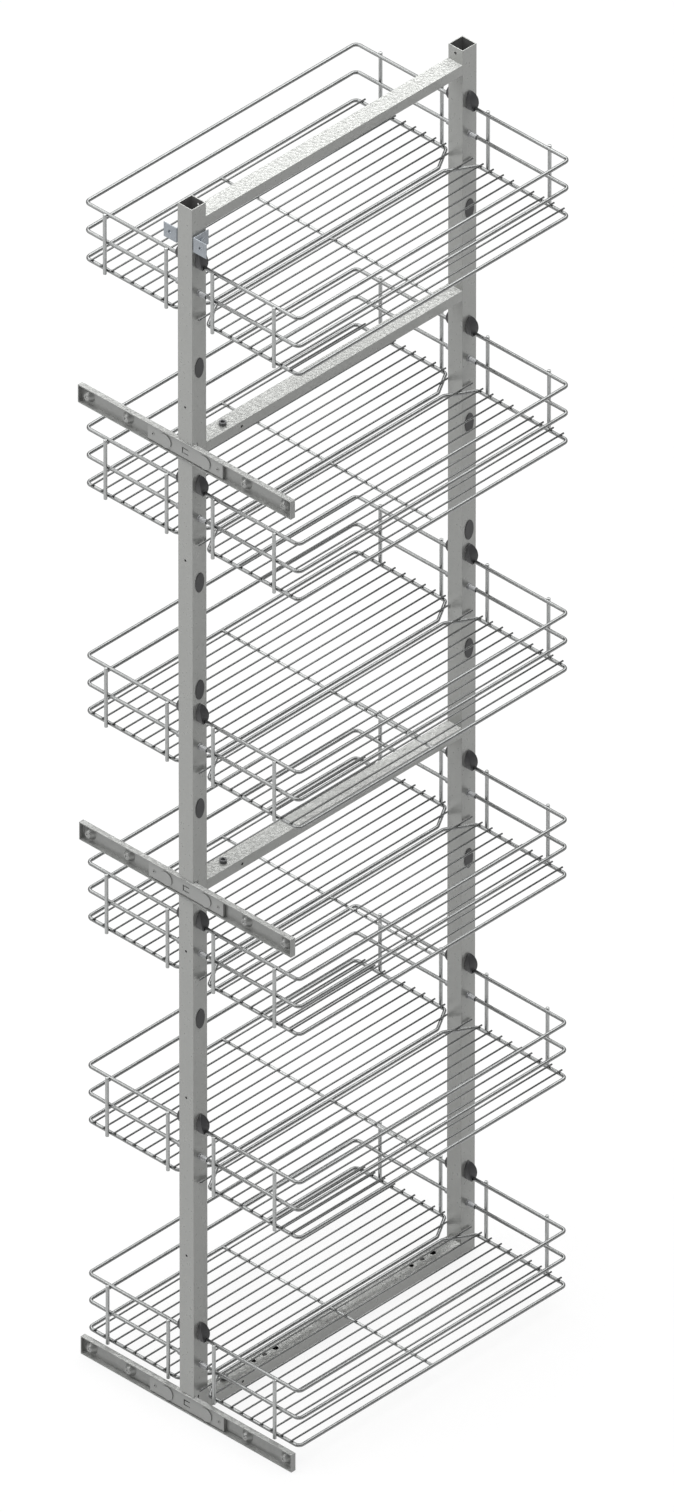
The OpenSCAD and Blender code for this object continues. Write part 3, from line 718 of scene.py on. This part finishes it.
class PANTRY_OT_wire_baskets(bpy.types.Operator):
    """Draw the wire half-baskets with round bends, welded crossings and eased ends"""
    bl_idname = "pantry.wire_baskets"
    bl_label = "Wire baskets"

    def execute(self, context):
        wire = context.scene.pantry_wire
        finish = context.scene.pantry_finish
        places = basket_places(wire)
        # The second and third finishes are lighter and darker painted copies of the first, which is
        # the one plating
        materials = [bright_wire(finish), satin_lit_wire(finish), floor_wire(finish)]
        for tier in TIERS:
            for side, sign in SIDES.items():
                name = f"tier_{tier}_{side}"
                self.rails(name, sign, wire, places, materials[:SHADED_FLOOR])
                self.floor(name, sign, wire, places, materials)
        return {"FINISHED"}

    def rails(self, name, sign, wire, places, materials):
        """Top rail, mid rail and four uprights of a half-basket."""
        low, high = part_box(name + "_rails")
        top = high.z - wire.rise
        middle = top - wire.spacing
        outer_x, rail_y = places["outer_x"], places["rail_y"]
        weld_y = places["upright_y"] - wire.rail_d / 2
        uprights = [
            (x, end) for x in (wire.upright_near, outer_x - wire.upright_inset) for end in (-1, 1)
        ]
        bm = bmesh.new()
        for end_x, z in ((wire.clip_end, top), (places["sleeve_end"], middle)):
            path = ((end_x, -rail_y), (outer_x, -rail_y), (outer_x, rail_y), (end_x, rail_y))
            points = [Vector((x, y, z)) for x, y in path]
            bent_wire(bm, points, wire.rail_d, wire.bend, wire.sides, False)
        rail_faces = set(bm.faces)
        for x, end in uprights:
            y = end * places["upright_y"]
            rod(bm, Vector((x, y, low.z)), Vector((x, y, high.z)), wire.rail_d, wire.sides)
        # The uprights get the lighter painted copy of the plating
        finish_later(bm, rail_faces, SATIN_LIT)
        close_wires(bm, wire)
        for x, end in uprights:
            for z in (top, middle, middle - wire.spacing):
                weld_bead(bm, Vector((x, end * weld_y, z)), wire.weld_bead)
        turn_out(bm, sign)
        new_piece(bm, name + "_rail_wire", name, materials, [name + "_rails"])

    def floor(self, name, sign, wire, places, materials):
        """Closed floor frame, cross wire and thin wires of a half-basket."""
        low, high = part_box(name + "_floor")
        z = low.z + wire.rail_d / 2
        inner_x, outer_x = places["inner_x"], places["outer_x"]
        frame_y = places["rail_y"] - wire.weld_sink + WELD_TOUCH
        slant_x = inner_x + wire.slant_x
        slant_y = frame_y - wire.slant_y
        path = (
            (slant_x, -frame_y), (outer_x, -frame_y), (outer_x, frame_y),
            (slant_x, frame_y), (inner_x, slant_y), (inner_x, -slant_y),
        )
        points = [Vector((x, y, z)) for x, y in path]
        bm = bmesh.new()
        bent_wire(bm, points, wire.rail_d, wire.bend, wire.sides, True)
        frame_faces = set(bm.faces)
        crossing = z + wire.rail_d / 2 - wire.weld_sink / 2
        cross_z = crossing - wire.cross_d / 2
        start, end = Vector((inner_x, 0, cross_z)), Vector((outer_x, 0, cross_z))
        rod(bm, start, end, wire.cross_d, wire.sides)
        # The cross wire gets the lighter painted copy of the plating
        finish_later(bm, frame_faces, SATIN_LIT)
        thick_faces = set(bm.faces)
        step = (outer_x - wire.last_inset - wire.first_x) / (wire.floor_count - 1)
        thin_x = [wire.first_x + i * step for i in range(wire.floor_count)]
        thin_z = high.z - wire.thin_d / 2
        reach = places["floor_reach"]
        for x in thin_x:
            start, end = Vector((x, -reach, thin_z)), Vector((x, reach, thin_z))
            rod(bm, start, end, wire.thin_d, wire.thin_sides)
        # The thin floor wires get the darker painted copy of the plating
        finish_later(bm, thick_faces, SHADED_FLOOR)
        close_wires(bm, wire)
        for x in thin_x:
            for y in (-frame_y, 0, frame_y):
                weld_bead(bm, Vector((x, y, crossing)), wire.weld_bead * THIN_BEAD)
        turn_out(bm, sign)
        new_piece(bm, name + "_floor_wire", name, materials, [name + "_floor"])


class PANTRY_OT_studio(bpy.types.Operator):
    """Set up the camera, floor, soft boxes and sky"""
    bl_idname = "pantry.studio"
    bl_label = "Studio"

    def execute(self, context):
        studio = context.scene.pantry_studio
        self.camera(context, studio)
        self.floor(context, studio)
        self.lamp(context, "front_box", FRONT_BOX, FRONT_BOX_SIZE, studio.fill)
        self.lamp(context, "top_box", TOP_BOX, TOP_BOX_SIZE, studio.overhead)
        self.sky(context, studio)
        context.scene.view_settings.view_transform = "Standard"
        return {"FINISHED"}

    def camera(self, context, studio):
        """A long lens far away, level with the picture's lines."""
        a, e = studio.azimuth, studio.elevation
        back = Vector((math.sin(a) * math.cos(e), -math.cos(a) * math.cos(e), math.sin(e)))
        right = Vector((math.cos(a), math.sin(a), 0))
        up = back.cross(right)
        data = bpy.data.cameras.new("Camera")
        data.sensor_fit = "VERTICAL"
        data.sensor_width, data.sensor_height = SENSOR
        data.lens = data.sensor_height * studio.distance / studio.view_height
        data.clip_start = NEAR_CLIP
        data.clip_end = FAR_CLIP * studio.distance
        camera = bpy.data.objects.new("Camera", data)
        camera.location = right * studio.aim_right + up * studio.aim_up + back * studio.distance
        camera.rotation_mode = "QUATERNION"
        camera.rotation_quaternion = (-back).to_track_quat("-Z", "Y")
        context.scene.collection.objects.link(camera)
        context.scene.camera = camera

    def floor(self, context, studio):
        """A wide pale floor just under the frame, seen as near white."""
        bm = bmesh.new()
        bmesh.ops.create_grid(
            bm, x_segments=1, y_segments=1, size=FLOOR_HALF,
            matrix=Matrix.Translation((0, 0, CAD_BOX[0].z - FLOOR_DROP)))
        mesh = bpy.data.meshes.new("studio_floor")
        bm.to_mesh(mesh)
        bm.free()
        floor = bpy.data.objects.new("studio_floor", mesh)
        context.scene.collection.objects.link(floor)
        material = bpy.data.materials.new("Studio floor")
        material.use_nodes = True
        tree = material.node_tree
        tree.nodes.clear()
        output = tree.nodes.new("ShaderNodeOutputMaterial")
        matt = tree.nodes.new("ShaderNodeBsdfDiffuse")
        tone = tree.nodes.new("ShaderNodeMix")
        tone.data_type = "RGBA"
        tone.inputs["A"].default_value = (*studio.floor_grey, 1)
        tone.inputs["B"].default_value = (*studio.floor_pale, 1)
        link(tree, tone.outputs["Result"], matt.inputs["Color"])
        white = tree.nodes.new("ShaderNodeEmission")
        path = tree.nodes.new("ShaderNodeLightPath")
        seen = path.outputs["Is Camera Ray"]
        for ray in ("Is Glossy Ray", "Is Transmission Ray"):
            either = tree.nodes.new("ShaderNodeMath")
            either.operation = "MAXIMUM"
            link(tree, seen, either.inputs[0])
            link(tree, path.outputs[ray], either.inputs[1])
            seen = either.outputs[0]
        link(tree, seen, tone.inputs["Factor"])
        share = tree.nodes.new("ShaderNodeMath")
        share.operation = "MULTIPLY"
        share.inputs[1].default_value = studio.floor_white
        link(tree, seen, share.inputs[0])
        mix = tree.nodes.new("ShaderNodeMixShader")
        link(tree, share.outputs[0], mix.inputs["Fac"])
        link(tree, matt.outputs[0], mix.inputs[1])
        link(tree, white.outputs[0], mix.inputs[2])
        link(tree, mix.outputs[0], output.inputs["Surface"])
        mesh.materials.append(material)

    def lamp(self, context, name, place, size, power):
        """A soft box that is aimed at the frame's middle and that the camera doesn't see."""
        data = bpy.data.lights.new(name, "AREA")
        data.shape = "SQUARE"
        data.size = size
        data.energy = power
        lamp = bpy.data.objects.new(name, data)
        lamp.location = place
        lamp.rotation_mode = "QUATERNION"
        lamp.rotation_quaternion = (LAMP_AIM - place).to_track_quat("-Z", "Y")
        lamp.visible_camera = False
        context.scene.collection.objects.link(lamp)

    def sky(self, context, studio):
        """A dim even sky with a wide bright ring overhead that leans to the back left."""
        world = bpy.data.worlds.new("Studio")
        world.use_nodes = True
        tree = world.node_tree
        place = tree.nodes.new("ShaderNodeTexCoord")
        toward = tree.nodes.new("ShaderNodeVectorMath")
        toward.operation = "DOT_PRODUCT"
        toward.inputs[1].default_value = RING_LEAN
        link(tree, place.outputs["Generated"], toward.inputs[0])
        dim, bright = studio.sky, studio.sky + studio.glow
        ring = tree.nodes.new("ShaderNodeMath")
        ring.operation = "MINIMUM"
        slopes = ((*RING_START, dim, bright), (*RING_END, bright, dim))
        for values, socket in zip(slopes, ring.inputs):
            slope = tree.nodes.new("ShaderNodeMapRange")
            slope.interpolation_type = "SMOOTHSTEP"
            for label, value in zip(("From Min", "From Max", "To Min", "To Max"), values):
                slope.inputs[label].default_value = value
            link(tree, toward.outputs["Value"], slope.inputs["Value"])
            link(tree, slope.outputs["Result"], socket)
        background = tree.nodes["Background"]
        background.inputs["Color"].default_value = (1, 1, 1, 1)
        link(tree, ring.outputs[0], background.inputs["Strength"])
        context.scene.world = world


class PANTRY_PT_panel(bpy.types.Panel):
    """Lists the steps that dress the pantry frame"""
    bl_idname = "PANTRY_PT_panel"
    bl_label = "Pantry frame"
    bl_space_type = "VIEW_3D"
    bl_region_type = "UI"
    bl_category = "Pantry"

    def draw(self, context):
        for operator in OPERATORS:
            self.layout.operator(operator.bl_idname)


OPERATORS = (
    PANTRY_OT_studio, PANTRY_OT_tube_frame, PANTRY_OT_front_bars, PANTRY_OT_side_brackets,
    PANTRY_OT_basket_fittings, PANTRY_OT_wire_baskets,
)
GROUPS = {"pantry_finish": PantryFinish, "pantry_wire": PantryWire, "pantry_studio": PantryStudio}
CLASSES = (*GROUPS.values(), *OPERATORS, PANTRY_PT_panel)


def register():
    for cls in CLASSES:
        bpy.utils.register_class(cls)
    for name, group in GROUPS.items():
        setattr(bpy.types.Scene, name, PointerProperty(type=group))


def unregister():
    for name in GROUPS:
        delattr(bpy.types.Scene, name)
    for cls in reversed(CLASSES):
        bpy.utils.unregister_class(cls)


def main():
    register()
    bpy.ops.pantry.studio()
    bpy.ops.pantry.tube_frame()
    bpy.ops.pantry.front_bars()
    bpy.ops.pantry.side_brackets()
    bpy.ops.pantry.basket_fittings()
    bpy.ops.pantry.wire_baskets()


if __name__ == "__main__":
    main()
